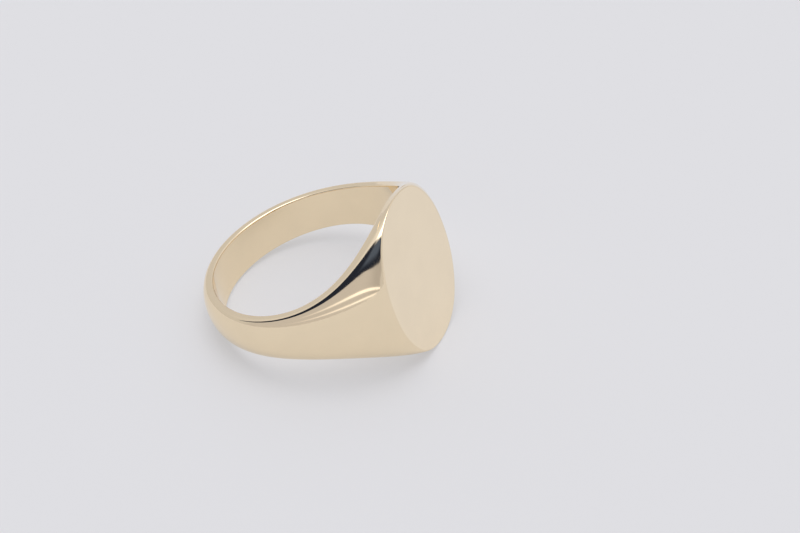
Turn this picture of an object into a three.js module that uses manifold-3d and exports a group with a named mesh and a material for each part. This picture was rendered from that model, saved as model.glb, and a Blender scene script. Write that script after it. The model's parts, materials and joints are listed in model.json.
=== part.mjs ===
// A plain oval signet ring in polished yellow gold, built the way a goldsmith builds one at the bench:
// an oval table on a saddle-shaped head, two tapering shoulders and a narrow shank, held together by
// five solder seams. Millimetres, +Z up. The ring lies on its side as it rests on a flat surface, with
// its table towards +X and looking a little upwards, and its origin under the middle of its box.
import * as THREE from 'three';
import { mergeVertices } from 'three/addons/utils/BufferGeometryUtils.js';
import Module from 'manifold-3d';

const wasm = await Module();
wasm.setup();

// Driving dimensions, in millimetres
const fingerBore = 16.9; // inside diameter
const tableLength = 14.0; // oval table, along the finger
const tableWidth = 11.0; // oval table, across the finger
const tableThickness = 0.45; // the oval plate
const headThickness = 0.85; // plate and saddle together, at their thinnest over the bore
const tableOverhang = 0.35; // table beyond the mouth of the bore, at each end
const shankWidth = 3.5; // at the back of the finger
const shankThickness = 1.2; // at the back of the finger
const rimBand = 0.4; // nearly flat band around each mouth of the bore
const boreChamfer = 0.09; // broken edge of the bore
const jointSetback = 1.8; // head-to-shoulder joint behind the edge of the table
const seamThickness = 0.04; // solder
const seamClearance = 0.01; // each side of the solder

// Driving angles, in degrees from the middle of the table round the bore
const shoulderSweep = 50; // how far the width carries down the shoulders
const shoulderSweepPower = 1.85; // how suddenly it narrows
const crownSweep = 26; // how far the height carries down the shoulders
const crownSweepPower = 1.4;
const crownEase = 4; // how softly the height starts to fall beyond the table
const rimFlare = 30; // how far the flare of the rim under the table carries
const flankFullness = 0.95; // how much squarer than an ellipse the flanks are at the ends of the table
const flankSweep = 27; // how far that fullness carries
const shankJoint = 112; // shoulder-to-shank joint

// Fineness of the facets
const tableSteps = 18; // along each quarter of the table
const bandStep = 4.2; // degrees, round the band
const flankSteps = 8; // from the rim to the middle of the band
const reach = 40; // larger than the ring, for cutting blocks

const boreRadius = fingerBore / 2;
const tableHeight = boreRadius + headThickness;
const halfLength = tableLength / 2;
const halfWidth = tableWidth / 2;
const mouthHalfWidth = halfLength - tableOverhang;
const backHalfWidth = shankWidth / 2;
const backRadius = boreRadius + shankThickness;
const shoulderRadius = Math.hypot(tableHeight, halfWidth);
const tableAngle = Math.atan2(halfWidth, tableHeight);
const headJoint = tableAngle + Math.asin(jointSetback / shoulderRadius);
const radians = THREE.MathUtils.degToRad;

// Half-width of the mouth of the bore at an angle round the ring
function mouthAt(angle) {
  const fall = Math.exp(-((Math.abs(angle) / radians(shoulderSweep)) ** shoulderSweepPower));
  return backHalfWidth + (mouthHalfWidth - backHalfWidth) * fall;
}

// Outer edge of the rim band: its radius and its half-width. It meets the table at the table's two ends.
function rimAt(angle) {
  const flare = Math.exp(-((angle / radians(rimFlare)) ** 2));
  const bandRadius = boreRadius + rimBand;
  return {
    radius: bandRadius + (tableHeight - bandRadius) * flare,
    width: mouthAt(angle) + tableOverhang * flare,
  };
}

// Radius of the crown, the middle of the outside, before the table is filed flat
function crownAt(angle) {
  const past = Math.max(0, Math.abs(angle) - tableAngle);
  const eased = (Math.hypot(past, radians(crownEase)) - radians(crownEase)) / radians(crownSweep);
  return backRadius + (shoulderRadius - backRadius) * Math.exp(-(eased ** crownSweepPower));
}

// Power of the oval that a flank follows in cross-section: 2 is an ellipse, more is squarer
function fullnessAt(angle) {
  return 2 + flankFullness * Math.exp(-((angle / radians(flankSweep)) ** 2));
}

// One cross-section, as points [radius, height] from the lower mouth of the bore round to the upper one.
// Under the table it starts where the flank meets the table's flat face.
function sectionAt(angle) {
  const mouth = mouthAt(angle);
  const rim = rimAt(angle);
  const dome = crownAt(angle) - rim.radius;
  const power = fullnessAt(angle);
  const beneathTable = Math.abs(angle) < tableAngle;
  const start = beneathTable ? (tableHeight / Math.cos(angle) - rim.radius) / dome : 1;
  const edge = Math.acos(start ** (power / 2));
  const upper = [];
  for (let i = 0; i <= flankSteps; i += 1) {
    const turn = edge + ((Math.PI / 2 - edge) * i) / flankSteps;
    const out = Math.max(0, Math.cos(turn)) ** (2 / power);
    upper.push([rim.radius + dome * out, rim.width * Math.sin(turn) ** (2 / power)]);
  }
  upper.push([boreRadius + boreChamfer, mouth]);
  upper.push([boreRadius, mouth - boreChamfer]);
  const lower = upper.map(([radius, height]) => [radius, -height]).reverse();
  return [...lower, ...upper];
}

// Angles of the cross-sections all the way round. None lies at the very middle of the table or of the
// back, so the ring rests on a short flat at each.
function sectionAngles() {
  const half = [];
  for (let i = 0; i < tableSteps; i += 1) {
    const turn = (Math.PI / 2) * (1 - (i + 0.5) / tableSteps);
    half.push(Math.atan2(halfWidth * Math.cos(turn), tableHeight));
  }
  const bandSteps = Math.round((Math.PI - tableAngle) / radians(bandStep));
  for (let i = 0; i < bandSteps; i += 1) {
    half.push(tableAngle + ((Math.PI - tableAngle) * i) / (bandSteps - 0.5));
  }
  const otherHalf = half.map((angle) => -angle).reverse();
  return [...otherHalf, ...half];
}

// Closed surface through the cross-sections, with the last one joined to the first
function ringSurface() {
  const angles = sectionAngles();
  const sections = angles.map((angle) => sectionAt(angle));
  const count = sections[0].length;
  const positions = [];
  sections.forEach((section, i) => {
    section.forEach(([radius, height]) => {
      positions.push(radius * Math.cos(angles[i]), radius * Math.sin(angles[i]), height);
    });
  });
  const index = [];
  for (let i = 0; i < sections.length; i += 1) {
    const here = i * count;
    const next = ((i + 1) % sections.length) * count;
    for (let j = 0; j < count; j += 1) {
      const k = (j + 1) % count;
      index.push(here + j, next + j, next + k);
      index.push(here + j, next + k, here + k);
    }
  }
  const geometry = new THREE.BufferGeometry();
  geometry.setAttribute('position', new THREE.Float32BufferAttribute(positions, 3));
  geometry.setIndex(index);
  return geometry;
}

// Solid of a closed geometry, with its shared vertices merged and its empty triangles dropped
function solidOf(geometry) {
  const plain = geometry.clone();
  plain.deleteAttribute('normal');
  plain.deleteAttribute('uv');
  const merged = mergeVertices(plain, 1e-5);
  const corners = merged.index.array;
  const kept = [];
  for (let i = 0; i < corners.length; i += 3) {
    const [a, b, c] = corners.slice(i, i + 3);
    if (a !== b && b !== c && c !== a) {
      kept.push(a, b, c);
    }
  }
  return new wasm.Manifold(new wasm.Mesh({
    numProp: 3,
    vertProperties: new Float32Array(merged.attributes.position.array),
    triVerts: new Uint32Array(kept),
  }));
}

function geometryOf(solid) {
  const mesh = solid.getMesh();
  const geometry = new THREE.BufferGeometry();
  geometry.setAttribute('position', new THREE.Float32BufferAttribute(mesh.vertProperties, 3));
  geometry.setIndex(Array.from(mesh.triVerts));
  geometry.computeVertexNormals();
  return geometry;
}

// Block that holds everything from one height over the bore to another
function layer(from, to) {
  const block = new THREE.BoxGeometry(to - from, reach, reach);
  block.translate((from + to) / 2, 0, 0);
  return solidOf(block);
}

// Thin slab standing on a radius of the ring, as a saw cut or the solder that fills it
function slab(angle, thickness) {
  const block = new THREE.BoxGeometry(reach, thickness, reach);
  block.translate(reach / 2, 0, 0);
  block.rotateZ(angle);
  return solidOf(block);
}

// Wedge of the ring from one angle to another
function wedge(from, to) {
  const outline = new THREE.Shape();
  const steps = Math.ceil((to - from) / radians(30));
  outline.moveTo(0, 0);
  for (let i = 0; i <= steps; i += 1) {
    const angle = from + ((to - from) * i) / steps;
    outline.lineTo(reach * Math.cos(angle), reach * Math.sin(angle));
  }
  const block = new THREE.ExtrudeGeometry(outline, { depth: reach, bevelEnabled: false });
  block.translate(0, 0, -reach / 2);
  return solidOf(block);
}

// Polished 14 carat gold, and the slightly paler solder in its seams
function gold() {
  return new THREE.MeshStandardMaterial({ color: 0xe6cfa4, roughness: 0.12, metalness: 1 });
}

function solder() {
  return new THREE.MeshStandardMaterial({ color: 0xe9d6b2, roughness: 0.2, metalness: 1 });
}

function piece(name, solid, material) {
  const mesh = new THREE.Mesh(geometryOf(solid), material);
  mesh.name = name;
  return mesh;
}

const ringBody = solidOf(ringSurface());
const sawCut = seamThickness + 2 * seamClearance;
const seamTop = tableHeight - tableThickness - seamClearance;
const seamBottom = seamTop - seamThickness;
const band = ringBody.intersect(layer(-reach, seamBottom - seamClearance));

// Oval table: the blank plate that would be engraved
function table() {
  const plate = ringBody.intersect(layer(seamTop + seamClearance, reach));
  return piece('table', plate, gold());
}

// Solder under the whole of the table
function tableSeam() {
  return piece('solder_table', ringBody.intersect(layer(seamBottom, seamTop)), solder());
}

// Length of the band between two joints, with half a saw cut taken off each end
function bandPiece(name, from, to) {
  const length = band.intersect(wedge(from, to));
  const trimmed = length.subtract(slab(from, sawCut)).subtract(slab(to, sawCut));
  return piece(name, trimmed, gold());
}

function bandSeam(name, angle) {
  return piece(name, band.intersect(slab(angle, seamThickness)), solder());
}

const ring = new THREE.Group();
ring.add(table());
ring.add(tableSeam());
ring.add(bandPiece('head', -headJoint, headJoint));
ring.add(bandPiece('shoulder_left', headJoint, radians(shankJoint)));
ring.add(bandPiece('shoulder_right', -radians(shankJoint), -headJoint));
ring.add(bandPiece('shank', radians(shankJoint), 2 * Math.PI - radians(shankJoint)));
ring.add(bandSeam('solder_head_left', headJoint));
ring.add(bandSeam('solder_head_right', -headJoint));
ring.add(bandSeam('solder_shank_left', radians(shankJoint)));
ring.add(bandSeam('solder_shank_right', -radians(shankJoint)));

// Angle at which the ring lies: the line from its lowest point under the table to its lowest at the back
function restingTilt() {
  const { position } = ringSurface().attributes;
  let tilt = 0;
  for (let round = 0; round < 12; round += 1) {
    const lowest = { head: null, back: null };
    for (let i = 0; i < position.count; i += 1) {
      const side = position.getX(i) > 0 ? 'head' : 'back';
      const x = position.getX(i);
      const z = position.getZ(i);
      const drop = x * Math.sin(tilt) + z * Math.cos(tilt);
      if (lowest[side] === null || drop < lowest[side].drop) {
        lowest[side] = { drop, x, z };
      }
    }
    const { head, back } = lowest;
    tilt = Math.atan2(back.z - head.z, head.x - back.x);
  }
  return tilt;
}

ring.rotation.y = -restingTilt();

const signetRing = new THREE.Group();
signetRing.add(ring);
signetRing.updateMatrixWorld(true);
const box = new THREE.Box3().setFromObject(ring, true);
ring.position.x = -(box.min.x + box.max.x) / 2;
ring.position.y = -(box.min.y + box.max.y) / 2;
ring.position.z = -box.min.z;
signetRing.updateMatrixWorld(true);

export default signetRing;
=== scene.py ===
import json
import math

import bmesh
import bpy
import numpy as np
from mathutils import Matrix, Vector


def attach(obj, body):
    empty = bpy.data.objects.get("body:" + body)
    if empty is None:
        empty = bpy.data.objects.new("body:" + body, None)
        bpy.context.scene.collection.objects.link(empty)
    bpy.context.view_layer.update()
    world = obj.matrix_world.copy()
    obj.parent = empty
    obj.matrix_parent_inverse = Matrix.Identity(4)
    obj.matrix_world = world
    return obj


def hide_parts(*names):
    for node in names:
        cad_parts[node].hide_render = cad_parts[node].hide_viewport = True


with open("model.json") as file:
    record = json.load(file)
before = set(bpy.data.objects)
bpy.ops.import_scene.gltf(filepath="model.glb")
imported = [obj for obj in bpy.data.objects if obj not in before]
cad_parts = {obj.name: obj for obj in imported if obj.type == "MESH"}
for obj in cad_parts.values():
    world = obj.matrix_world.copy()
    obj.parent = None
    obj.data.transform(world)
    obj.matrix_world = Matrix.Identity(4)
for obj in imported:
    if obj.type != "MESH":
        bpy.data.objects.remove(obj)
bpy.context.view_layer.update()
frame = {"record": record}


# ---- Shank -------------------------------------------------------------------------------------
# The narrow back of the ring: half-round 14 carat gold wire, drawn down and bent round a mandrel,
# then filed and polished. It is soldered to a shoulder at each end.

# Millimetres, in the ring's own axes: X runs from the middle of the bore to the table, Z along the bore
MM = 0.001
BORE_RADIUS = 8.45
TABLE_HEIGHT = 9.3
TABLE_HALF_LENGTH = 7.0
TABLE_HALF_WIDTH = 5.5
TABLE_OVERHANG = 0.35
SHANK_HALF_WIDTH = 1.75
SHANK_THICKNESS = 1.2
RIM_BAND = 0.4
SHOULDER_SWEEP = math.radians(50)
SHOULDER_SWEEP_POWER = 1.85
CROWN_SWEEP = math.radians(26)
CROWN_SWEEP_POWER = 1.4
CROWN_EASE = math.radians(4)
RIM_FLARE = math.radians(30)
FLANK_FULLNESS = 0.95
FLANK_SWEEP = math.radians(27)
SHANK_JOINT = math.radians(112)
SEAM = 0.04

SHOULDER_RADIUS = math.hypot(TABLE_HEIGHT, TABLE_HALF_WIDTH)
TABLE_ANGLE = math.atan2(TABLE_HALF_WIDTH, TABLE_HEIGHT)

# Polishing rounds every edge a little: how far from the edge the rounding starts, in millimetres
RIM_ROUND = 0.12
BORE_ROUND = 0.16
TABLE_ROUND = 0.09

# How finely the surface is drawn: points over half a cross-section, and the turn between cross-sections
FLANK_POINTS = 44
RIM_POINTS = 12
BORE_POINTS = 16
SECTION_STEP_DEGREES = 0.9
TINY = 1e-6


def mouth_at(angle):
    """Half-width of the bore's mouth at an angle round the ring from the middle of the table."""
    widest = TABLE_HALF_LENGTH - TABLE_OVERHANG
    fall = np.exp(-((np.abs(angle) / SHOULDER_SWEEP) ** SHOULDER_SWEEP_POWER))
    return SHANK_HALF_WIDTH + (widest - SHANK_HALF_WIDTH) * fall


def rim_at(angle):
    """Radius and half-width of the outer edge of the band that runs round the bore's mouth."""
    flare = np.exp(-((angle / RIM_FLARE) ** 2))
    band = BORE_RADIUS + RIM_BAND
    return band + (TABLE_HEIGHT - band) * flare, mouth_at(angle) + TABLE_OVERHANG * flare


def crown_at(angle):
    """Radius of the crown, the middle of the outside, before the table is filed flat."""
    past = np.maximum(np.abs(angle) - TABLE_ANGLE, 0)
    eased = (np.hypot(past, CROWN_EASE) - CROWN_EASE) / CROWN_SWEEP
    back = BORE_RADIUS + SHANK_THICKNESS
    return back + (SHOULDER_RADIUS - back) * np.exp(-(eased**CROWN_SWEEP_POWER))


def fullness_at(angle):
    """Power of the oval that a flank follows in cross-section: 2 is an ellipse, more is squarer."""
    return 2 + FLANK_FULLNESS * np.exp(-((angle / FLANK_SWEEP) ** 2))


def soft_max(a, b, rounding):
    """The larger of two distances, with the edge where they are equal rounded off."""
    if rounding == 0:
        return np.maximum(a, b)
    near = np.maximum(rounding - np.abs(a - b), 0) / rounding
    return np.maximum(a, b) + near * near * rounding / 4


def blank(points, rounded=1):
    """Distance outside the ring before its table is filed flat, in millimetres, in the ring's own axes."""
    x, y, z = points[..., 0], points[..., 1], np.abs(points[..., 2])
    radius = np.hypot(x, y)
    angle = np.arctan2(y, x)
    rim_radius, rim_width = rim_at(angle)
    dome = crown_at(angle) - rim_radius
    mouth = mouth_at(angle)
    power = fullness_at(angle)
    out = np.maximum(radius - rim_radius, 0) / dome
    up = z / rim_width
    level = np.maximum((out**power + up**power) ** (1 / power), TINY)
    steep = np.hypot(out ** (power - 1) / dome, up ** (power - 1) / rim_width) / level ** (power - 1)
    flank = (level - 1) / np.maximum(steep, TINY)
    slope = (rim_width - mouth) / (rim_radius - BORE_RADIUS)
    rim = (z - mouth - slope * (radius - BORE_RADIUS)) / np.hypot(1, slope)
    domed = soft_max(flank, rim, RIM_ROUND * rounded)
    return soft_max(domed, BORE_RADIUS - radius, BORE_ROUND * rounded)


def skin(points):
    """Distance outside the ring's finished surface."""
    return soft_max(blank(points), points[..., 0] - TABLE_HEIGHT, TABLE_ROUND)


def skin_slope(points):
    """Direction in which the distance outside the surface grows fastest."""
    step = 1e-4
    slopes = [(skin(points + shift) - skin(points - shift)) / (2 * step) for shift in step * np.eye(3)]
    return np.stack(slopes, axis=-1)


def polish(points, keep=None):
    """Moves points onto the finished surface. keep gives a direction for each in which it doesn't move."""
    passes, flattest, longest_step = 6, 0.05, 0.1
    for _ in range(passes):
        slope = skin_slope(points)
        if keep is not None:
            slope = slope - keep * np.sum(slope * keep, axis=-1, keepdims=True)
        steepness = np.maximum(np.sum(slope * slope, axis=-1), flattest)
        step = np.clip(skin(points) / steepness, -longest_step, longest_step)
        points = points - slope * step[..., None]
    return points


def crowd(count, both=False):
    """Fractions from 0 to 1 that crowd together towards 1, or towards both ends."""
    even = np.linspace(0, 1, count)
    if both:
        return (1 - np.cos(math.pi * even)) / 2
    return 1 - (1 - even) ** 2


def profile(angle, ceiling=None):
    """Upper half of the cross-section at an angle, as radius and height, from the middle of the outside
    over the rim to the middle of the bore. A ceiling cuts it off level, for the head under its table."""
    rim_radius, rim_width = (float(v) for v in rim_at(angle))
    top = float(crown_at(angle))
    dome = top - rim_radius
    mouth = float(mouth_at(angle))
    power = float(fullness_at(angle))
    if ceiling is not None:
        top = min(top, ceiling / math.cos(angle))
    start = math.acos(min(max((top - rim_radius) / dome, 0), 1) ** (power / 2))
    turn = start + (math.pi / 2 - start) * crowd(FLANK_POINTS)
    out = np.maximum(np.cos(turn), 0) ** (2 / power)
    flank = np.stack([rim_radius + dome * out, rim_width * np.sin(turn) ** (2 / power)], axis=-1)
    rim_top = min(top, rim_radius)
    along = rim_top + (BORE_RADIUS - rim_top) * crowd(RIM_POINTS, both=True)
    height = mouth + (rim_width - mouth) * (along - BORE_RADIUS) / (rim_radius - BORE_RADIUS)
    rim = np.stack([along, height], axis=-1)
    if top < rim_radius:
        flank[:] = rim[0]
    down = mouth * (1 - np.linspace(0, 1, BORE_POINTS) ** 2)
    bore = np.stack([np.full(BORE_POINTS, BORE_RADIUS), down], axis=-1)
    return np.concatenate([flank, rim[1:], bore[1:]])


def rows_of_faces(row_count, count):
    """Faces between rows of points that each run round in a closed ring, and a face over each end."""
    sides = []
    for a in range(0, (row_count - 1) * count, count):
        b = a + count
        for j in range(count):
            k = (j + 1) % count
            sides.append((a + j, b + j, b + k, a + k))
    first = tuple(range(count))
    last = tuple((row_count - 1) * count + j for j in range(count))
    return sides, [first[::-1], last]


def band_mesh(angles, ceiling=None):
    """Vertices, faces and end faces of a length of the band through cross-sections at these angles."""
    rows = []
    for angle in angles:
        upper = profile(angle, ceiling)
        lower = upper[::-1] * (1, -1)
        ring = np.concatenate([upper, lower[1:]])
        if ceiling is None:
            ring = ring[:-1]
        rows.append(np.stack(
            [ring[:, 0] * math.cos(angle), ring[:, 0] * math.sin(angle), ring[:, 1]], axis=-1))
    points = np.array(rows)
    along = np.stack([-np.sin(angles), np.cos(angles), np.zeros(len(angles))], axis=-1)
    keep = np.repeat(along[:, None, :], points.shape[1], axis=1)
    finished = polish(points, keep)
    if ceiling is not None:
        level = points[..., 0] > ceiling - TINY
        finished[level] = points[level]
    return finished.reshape(-1, 3), *rows_of_faces(*points.shape[:2])


# Where the table sits in the row's frame gives the place and the lean of the whole ring
table_mount = next(m for m in frame["record"]["mounts"] if m["name"] == "table_face")
lean = math.atan2(table_mount["axis"][2], table_mount["axis"][0])
facing = Vector((math.cos(lean), 0, math.sin(lean)))
bore_middle = Vector(table_mount["pos_m"]) - facing * TABLE_HEIGHT * MM
ring_to_row = Matrix.Translation(bore_middle) @ Matrix.Rotation(-lean, 4, "Y") @ Matrix.Scale(MM, 4)


def finished_piece(name, points, faces, ends, material, node, slot, front=None):
    """Makes a piece of the ring, with the true normals of the polished surface on all but its cut ends.
    front is the finish of the part of it that faces the way the table does; for the table it is a gold
    brightened with painted light."""
    weld, sliver, level, across = 2e-4, 1e-5, 0.999, 0.5
    mesh = bpy.data.meshes.new(name)
    mesh.from_pydata([tuple(p) for p in points], [], [tuple(f) for f in faces] + list(ends))
    for finish in filter(None, (material, front)):
        mesh.materials.append(finish)
    shape = bmesh.new()
    shape.from_mesh(mesh)
    cut = shape.faces.layers.int.new("cut")
    shape.faces.ensure_lookup_table()
    for face in shape.faces[len(faces):]:
        face[cut] = 1
    bmesh.ops.remove_doubles(shape, verts=shape.verts, dist=weld)
    bmesh.ops.dissolve_degenerate(shape, edges=shape.edges, dist=sliver)
    bmesh.ops.recalc_face_normals(shape, faces=shape.faces)
    if shape.calc_volume(signed=True) < 0:
        bmesh.ops.reverse_faces(shape, faces=shape.faces)
    for face in shape.faces:
        face.smooth = True
        face.material_index = 1 if front and face.normal.x > level else 0
    shape.to_mesh(mesh)
    shape.free()
    place = np.array([v.co for v in mesh.vertices])
    slope = skin_slope(place)
    slope /= np.linalg.norm(slope, axis=-1, keepdims=True)
    normals = []
    cuts = mesh.attributes["cut"].data
    for face in mesh.polygons:
        # a face that lies across the piece, such as the one under a table, keeps its own flat normal
        for vertex in face.vertices:
            true = Vector(slope[vertex])
            flat = cuts[face.index].value or true.dot(face.normal) < across
            normals.append(face.normal.copy() if flat else true)
    mesh.transform(ring_to_row)
    turn = ring_to_row.to_3x3().normalized()
    mesh.normals_split_custom_set([(turn @ n).normalized() for n in normals])
    mesh.attributes.remove(mesh.attributes["cut"])
    piece = bpy.data.objects.new(name, mesh)
    bpy.context.scene.collection.objects.link(piece)
    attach(piece, "root")
    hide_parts(node)


def polished_gold(name, tone, roughness, hair_scale, hair_depth):
    """Gold buffed to a mirror: slight clouding, faint smudges, and hairlines left by the buff."""
    material = bpy.data.materials.new(name)
    material.use_nodes = True
    nodes, links = material.node_tree.nodes, material.node_tree.links
    shader = nodes["Principled BSDF"]
    shader.inputs["Metallic"].default_value = 1
    where = nodes.new("ShaderNodeTexCoord")
    ring = nodes.new("ShaderNodeMapping")
    ring.vector_type = "TEXTURE"
    ring.inputs["Location"].default_value = bore_middle
    ring.inputs["Rotation"].default_value = (0, -lean, 0)
    ring.inputs["Scale"].default_value = (MM, MM, MM)
    links.new(where.outputs["Object"], ring.inputs["Vector"])

    def noise(scale, detail, stretch=(1, 1, 1)):
        lay = nodes.new("ShaderNodeMapping")
        lay.inputs["Scale"].default_value = stretch
        cloud = nodes.new("ShaderNodeTexNoise")
        cloud.inputs["Scale"].default_value = scale
        cloud.inputs["Detail"].default_value = detail
        links.new(ring.outputs["Vector"], lay.inputs["Vector"])
        links.new(lay.outputs["Vector"], cloud.inputs["Vector"])
        return cloud.outputs["Fac"]

    def ramp(value, low, high, start, end):
        spread = nodes.new("ShaderNodeMapRange")
        spread.inputs["From Min"].default_value = low
        spread.inputs["From Max"].default_value = high
        spread.inputs["To Min"].default_value = start
        spread.inputs["To Max"].default_value = end
        links.new(value, spread.inputs["Value"])
        return spread.outputs["Result"]

    clouding = noise(0.35, 3)
    colour = nodes.new("ShaderNodeMix")
    colour.data_type = "RGBA"
    colour.inputs["A"].default_value = (*(c * 0.985 for c in tone), 1)
    colour.inputs["B"].default_value = (*(min(c * 1.01, 1) for c in tone), 1)
    links.new(ramp(clouding, 0.35, 0.65, 0, 1), colour.inputs["Factor"])
    links.new(colour.outputs["Result"], shader.inputs["Base Color"])

    hairs = noise(1, 4, stretch=hair_scale)
    smudge = ramp(noise(0.8, 5), 0.4, 0.7, 0, 0.03)
    hair_rough = ramp(hairs, 0.62, 0.75, roughness, roughness + 0.06)
    total = nodes.new("ShaderNodeMath")
    total.operation = "ADD"
    links.new(smudge, total.inputs[0])
    links.new(hair_rough, total.inputs[1])
    links.new(total.outputs["Value"], shader.inputs["Roughness"])

    bump = nodes.new("ShaderNodeBump")
    bump.inputs["Strength"].default_value = 1
    bump.inputs["Distance"].default_value = hair_depth * MM
    links.new(hairs, bump.inputs["Height"])
    links.new(bump.outputs["Normal"], shader.inputs["Normal"])
    return material


GOLD = (0.94, 0.787, 0.556)
band_gold = polished_gold("band_gold", GOLD, 0.06, hair_scale=(0.6, 0.6, 9), hair_depth=0.0003)


def angles_between(start, end, step_degrees=SECTION_STEP_DEGREES):
    """Evenly spaced angles from start to end, no further apart than the step."""
    count = max(2, int(math.ceil(math.degrees(end - start) / step_degrees)) + 1)
    return np.linspace(start, end, count)


SEAM_TURN = SEAM / 2 / (BORE_RADIUS + SHANK_THICKNESS / 2)
shank_shape = band_mesh(angles_between(SHANK_JOINT + SEAM_TURN, 2 * math.pi - SHANK_JOINT - SEAM_TURN))
finished_piece("polished_shank", *shank_shape, band_gold, "shank", "gold")


# ---- Shoulders ---------------------------------------------------------------------------------
# Two tapering shoulders, forged and filed from the same gold, that widen from the shank to the head.
# They are a mirrored pair, soldered at both ends.

JOINT_SETBACK = 1.8
HEAD_JOINT = TABLE_ANGLE + math.asin(JOINT_SETBACK / SHOULDER_RADIUS)

for side, ends in (("left", (HEAD_JOINT, SHANK_JOINT)), ("right", (-SHANK_JOINT, -HEAD_JOINT))):
    shoulder_shape = band_mesh(angles_between(ends[0] + SEAM_TURN, ends[1] - SEAM_TURN))
    node = "shoulder_" + side
    finished_piece("polished_" + node, *shoulder_shape, band_gold, node, "gold")


# ---- Head --------------------------------------------------------------------------------------
# The saddle that carries the table, forged from the same gold and soldered to a shoulder at each side.
# Its underside is part of the bore, and its top is filed flat.

TABLE_THICKNESS = 0.45
TABLE_SEAT = TABLE_HEIGHT - TABLE_THICKNESS
HEAD_TOP = TABLE_SEAT - SEAM
HALF_TOP_SECTIONS = 48
HEAD_STEP_DEGREES = 0.6

# The angle at which the crown comes down to the head's level top. Each guess gives a closer one.
top_angle = TABLE_ANGLE
guesses = 60
for _ in range(guesses):
    top_angle = math.acos(HEAD_TOP / float(crown_at(top_angle)))

# the cross-sections crowd together towards that angle
across_top = HEAD_TOP * math.tan(top_angle) * np.sin(np.linspace(0, math.pi / 2, HALF_TOP_SECTIONS))
beyond_top = angles_between(top_angle, HEAD_JOINT - SEAM_TURN, HEAD_STEP_DEGREES)[1:]
half_head = np.concatenate([np.arctan2(across_top, HEAD_TOP), beyond_top])
head_angles = np.concatenate([-half_head[:0:-1], half_head])
head_shape = band_mesh(head_angles, ceiling=HEAD_TOP)
finished_piece("polished_head", *head_shape, band_gold, "head", "gold")


# ---- Table -------------------------------------------------------------------------------------
# The blank oval plate that would be engraved. It is cut from sheet, soldered on, filed flush with the
# flanks and lapped flat, so its edge is crisp and its face is the truest mirror on the ring.

OUTLINE_POINTS = 320


def outline_at(height, turns):
    """Points of the ring's sharp outline at a height over the bore, in these directions."""
    low = np.zeros_like(turns)
    high = np.full_like(turns, 2 * TABLE_HALF_LENGTH)
    halvings = 50
    for _ in range(halvings):
        middle = (low + high) / 2
        points = np.stack(
            [np.full_like(turns, height), middle * np.cos(turns), middle * np.sin(turns)], axis=-1)
        inside = blank(points, rounded=0) < 0
        low = np.where(inside, middle, low)
        high = np.where(inside, high, middle)
    return np.stack([np.full_like(turns, height), low * np.cos(turns), low * np.sin(turns)], axis=-1)


def drawn_in(outline, share):
    """The outline made smaller about the middle of the table."""
    smaller = outline.copy()
    smaller[:, 1:] *= share
    return smaller


def layer_mesh(heights, insets=()):
    """Vertices, faces and end faces of a level slice of the head. With insets, which are distances in from
    the outline, its upper edge is rounded off and rings of faces cover its top."""
    turns = np.linspace(0, 2 * math.pi, OUTLINE_POINTS, endpoint=False)
    sharp = np.array([outline_at(height, turns) for height in heights])
    rows = polish(sharp, np.broadcast_to((1.0, 0.0, 0.0), sharp.shape))
    if insets:
        top = sharp[-1]
        size = np.linalg.norm(top[:, 1:], axis=-1, keepdims=True)
        rounded = heights >= TABLE_HEIGHT - TABLE_ROUND
        edge = list(sharp[rounded]) + [drawn_in(top, 1 - inset / size) for inset in insets]
        face = [drawn_in(top, share) for share in np.linspace(0.9, 0.1, 9)]
        rows = np.concatenate([rows[~rounded], polish(np.array(edge)), face])
    return rows.reshape(-1, 3), *rows_of_faces(*rows.shape[:2])


# The table's face has its own gold. It is pinker than the band's, a tone the table has, and brighter than
# the band's. The extra brightness is painted light, standing in for the brighter light the face reflects.
TABLE_GOLD_WITH_PAINTED_LIGHT = (0.992, 0.85, 0.632)
table_gold_with_painted_light = polished_gold("table_gold_with_painted_light", TABLE_GOLD_WITH_PAINTED_LIGHT, 0.07, hair_scale=(5, 5, 0.8), hair_depth=0.0002)

# rows of points crowd together where the edge turns from the flank to the face
EDGE_ROWS = (0.1, 0.2, 0.32, 0.46, 0.62, 0.8, 1.0)
LOWER_FLANK_TOP = TABLE_HEIGHT - 0.13
below_edge = TABLE_ROUND * np.array((1.2, *EDGE_ROWS[::-1], 0))
plate_heights = np.concatenate([np.linspace(TABLE_SEAT, LOWER_FLANK_TOP, 7), TABLE_HEIGHT - below_edge])
plate_insets = tuple(TABLE_ROUND * np.array((*EDGE_ROWS, 1.3, 2.5, 5)))
plate_shape = layer_mesh(plate_heights, plate_insets)
finished_piece("polished_table", *plate_shape, band_gold, "table", "gold", front=table_gold_with_painted_light)


# ---- Solder seams ------------------------------------------------------------------------------
# Hard solder of nearly the same gold, a few hundredths of a millimetre thick, run into each joint and
# polished flush: one under the table, two at the head and two at the shank.

SOLDER = (0.94, 0.795, 0.56)
solder_gold = polished_gold("solder_gold", SOLDER, 0.07, hair_scale=(0.6, 0.6, 9), hair_depth=0.0003)

seam_shape = layer_mesh(np.array((HEAD_TOP, TABLE_SEAT - SEAM / 2, TABLE_SEAT)))
finished_piece("seam_table", *seam_shape, solder_gold, "solder_table", "solder")

for joint, middle in (("head", HEAD_JOINT), ("shank", SHANK_JOINT)):
    for side, way in (("left", 1), ("right", -1)):
        angles = np.sort(way * middle + np.array((-SEAM_TURN, 0, SEAM_TURN)))
        name = f"{joint}_{side}"
        finished_piece("seam_" + name, *band_mesh(angles), solder_gold, "solder_" + name, "solder")


# ---- Table top that the ring lies on -----------------------------------------------------------
# A sheet of white acrylic, much larger than the ring. It glows softly with painted light, an emission that
# stands in for light scattering inside it, so the shadows on it are faint.

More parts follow.
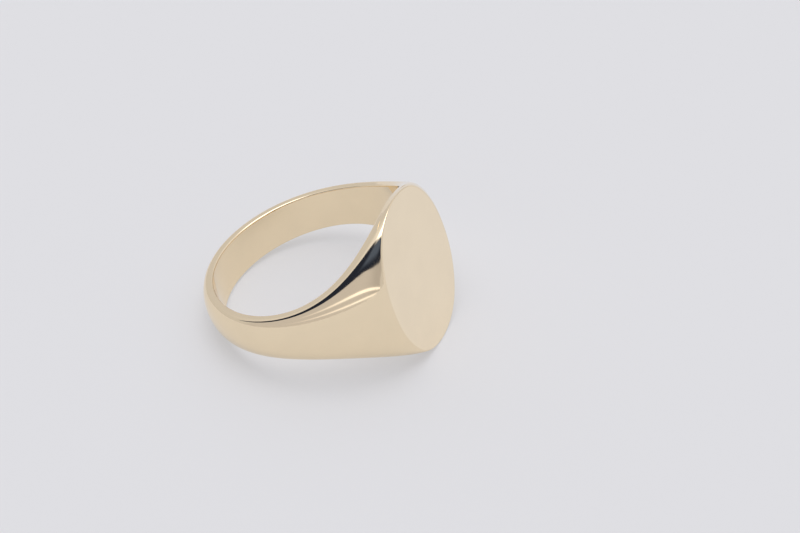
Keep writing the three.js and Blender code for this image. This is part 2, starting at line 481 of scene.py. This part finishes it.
BOARD_SIZE = 6.0
BOARD_WHITE = (0.37, 0.37, 0.374)
BOARD_PAINTED_GLOW = (1.0, 1.0, 1.03)
BOARD_PAINTED_GLOW_STRENGTH = 0.373

board_mesh = bpy.data.meshes.new("board")
half = BOARD_SIZE / 2
board_mesh.from_pydata([(-half, -half, 0), (half, -half, 0), (half, half, 0), (-half, half, 0)], [],
                       [(0, 1, 2, 3)])
board = bpy.data.objects.new("board", board_mesh)
bpy.context.scene.collection.objects.link(board)
board_paint = bpy.data.materials.new("board_paint")
board_paint.use_nodes = True
paint = board_paint.node_tree.nodes["Principled BSDF"]
paint.inputs["Base Color"].default_value = (*BOARD_WHITE, 1)
paint.inputs["Roughness"].default_value = 0.7
paint.inputs["Specular IOR Level"].default_value = 0.2
# painted light: the board glows though it is no lamp, which lightens the shadows round the ring
paint.inputs["Emission Color"].default_value = (*BOARD_PAINTED_GLOW, 1)
paint.inputs["Emission Strength"].default_value = BOARD_PAINTED_GLOW_STRENGTH
board_mesh.materials.append(board_paint)


# ---- Light -------------------------------------------------------------------------------------
# A soft white tent with its light overhead. A grey apron hangs across the front with two strips of
# light on it, and above the apron is a dark opening with a dim bluish patch in it.

scene = bpy.context.scene
world = bpy.data.worlds.new("tent")
world.use_nodes = True
tent, tent_links = world.node_tree.nodes, world.node_tree.links


def tent_math(operation, *values):
    """A sum, product or the like of numbers and node outputs."""
    node = tent.new("ShaderNodeMath")
    node.operation = operation
    for socket, value in zip(node.inputs, values):
        if isinstance(value, (int, float)):
            socket.default_value = value
        else:
            tent_links.new(value, socket)
    return node.outputs["Value"]


def tent_step(value, low, high):
    """Rises smoothly from 0 at low to 1 at high."""
    node = tent.new("ShaderNodeMapRange")
    node.interpolation_type = "SMOOTHSTEP"
    node.inputs["From Min"].default_value = low
    node.inputs["From Max"].default_value = high
    tent_links.new(value, node.inputs["Value"])
    return node.outputs["Result"]


def tent_stretch(value, low, high, soft):
    """1 between two limits and 0 beyond them, with soft edges."""
    rise = tent_step(value, low - soft / 2, low + soft / 2)
    fall = tent_step(value, high - soft / 2, high + soft / 2)
    return tent_math("SUBTRACT", rise, fall)


def tent_paint(under, colour, share):
    """Lays a colour over what is already there."""
    node = tent.new("ShaderNodeMix")
    node.data_type = "RGBA"
    tent_links.new(share, node.inputs["Factor"])
    for name, value in (("A", under), ("B", colour)):
        if isinstance(value, tuple):
            node.inputs[name].default_value = (*value, 1)
        else:
            tent_links.new(value, node.inputs[name])
    return node.outputs["Result"]


WALL_LOW = (0.64, 0.64, 0.67)
WALL_HIGH = (0.86, 0.86, 0.90)
CEILING = (2.9, 2.88, 2.96)
APRON = (0.6, 0.59, 0.625)
APRON_END = (0.49, 0.478, 0.5)
OPENING = (0.018, 0.024, 0.045)
DIM_PATCH = (0.085, 0.115, 0.19)
STRIP = (1.35, 1.33, 1.34)

split = tent.new("ShaderNodeSeparateXYZ")
tent_links.new(tent.new("ShaderNodeTexCoord").outputs["Generated"], split.inputs["Vector"])
rise = tent_math("MULTIPLY", tent_math("ARCSINE", split.outputs["Z"]), 180 / math.pi)
sky = tent_paint(WALL_LOW, WALL_HIGH, tent_step(rise, 15, 60))

# the apron and the opening are flat, a unit in front of the ring: how far along it and how high
outward = tent_math("MULTIPLY", split.outputs["Y"], -1)
depth = tent_math("MAXIMUM", outward, 0.02)
along = tent_math("DIVIDE", split.outputs["X"], depth)
height = tent_math("DIVIDE", split.outputs["Z"], depth)
ahead = tent_step(outward, 0.02, 0.06)
front = tent_math("MULTIPLY", tent_stretch(along, -1.8, 2.6, 0.3), ahead)
apron = tent_paint(APRON, APRON_END, tent_step(along, 0.5, 1.9))
sky = tent_paint(sky, apron, tent_math("MULTIPLY", front, tent_stretch(height, -0.5, 1.2, 0.03)))
for slant, level, width, share in ((-0.11, 0.333, 0.075, 1), (-0.075, 0.125, 0.045, 0.9)):
    line = tent_math("SUBTRACT", height, tent_math("MULTIPLY", along, slant))
    strip = tent_stretch(line, level - width / 2, level + width / 2, 0.03)
    reach = tent_math("MULTIPLY", tent_step(along, -0.6, 0.7), share)
    sky = tent_paint(sky, STRIP, tent_math("MULTIPLY", front, tent_math("MULTIPLY", strip, reach)))
for colour, left, right, low, high, soft in ((OPENING, -3.6, 1.9, 0.822, 2.3, 0.06),
                                             (DIM_PATCH, -0.1, 1.15, 1.1, 2.0, 0.3)):
    share = tent_math("MULTIPLY", tent_stretch(along, left, right, soft * 2),
                      tent_stretch(height, low, high, soft))
    sky = tent_paint(sky, colour, tent_math("MULTIPLY", ahead, share))
sky = tent_paint(sky, CEILING, tent_step(rise, 60, 74))
tent_links.new(sky, tent.get("Background").inputs["Color"])
scene.world = world
scene.view_settings.view_transform = "Standard"


# ---- Camera ------------------------------------------------------------------------------------
# Above and in front of the right shoulder, on a long lens, turned so that the ring lies a little to the
# left of the middle with bare board all round it.

CAMERA_FROM_BORE = Vector((76.95, -160.433, 153.509)) * MM
CAMERA_RIGHT = Vector((0.92813, 0.37066, -0.03448))
CAMERA_UP = Vector((-0.21845, 0.61731, 0.75578))

camera_data = bpy.data.cameras.new("camera")
camera_data.sensor_width = 36
camera_data.lens = 130.0
camera_data.clip_start = 0.01
camera = bpy.data.objects.new("camera", camera_data)
facing_camera = Matrix((CAMERA_RIGHT, CAMERA_UP, CAMERA_RIGHT.cross(CAMERA_UP))).transposed().to_4x4()
camera.matrix_world = Matrix.Translation(bore_middle + CAMERA_FROM_BORE) @ facing_camera
scene.collection.objects.link(camera)
scene.camera = camera
